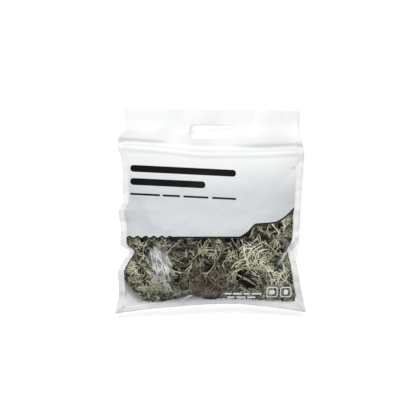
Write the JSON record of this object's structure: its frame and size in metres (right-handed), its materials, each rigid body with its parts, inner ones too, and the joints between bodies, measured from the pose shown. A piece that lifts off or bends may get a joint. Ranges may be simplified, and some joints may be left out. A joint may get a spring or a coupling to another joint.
{
  "type": "resealable bag of lichen",
  "caption": "Pillow bag with a clear lower front, a white back, a press-to-close strip and a hand slot, lying on its back and packed with dried tree lichen and bits of twig.",
  "frame": {"origin": "on the surface that the bag lies on, under the middle of its bounding box", "axes": "+X across the bag, +Y from its foot towards its top edge, +Z out of its clear front"},
  "size_m": [0.3052, 0.332, 0.0593],
  "materials": {
    "clear_film": "clear glossy film, printed white on its upper part",
    "white_film": "white glossy film",
    "strip": "milky moulded plastic",
    "lichen": "matte, dry, pale grey-green on top and dark beneath",
    "bark": "dry bark, matte"
  },
  "bodies": {
    "root": {"front_film": "clear_film", "back_film": "white_film", "strip_ridge": "strip", "strip_groove": "strip", "lichen_tuft_01": "lichen", "lichen_tuft_02": "lichen", "lichen_tuft_03": "lichen", "lichen_tuft_04": "lichen", "lichen_tuft_05": "lichen", "lichen_tuft_06": "lichen", "lichen_tuft_07": "lichen", "lichen_tuft_08": "lichen", "lichen_tuft_09": "lichen", "lichen_tuft_10": "lichen", "twig_01": "bark", "twig_02": "bark", "twig_03": "bark", "twig_04": "bark"}
  },
  "joints": []
}
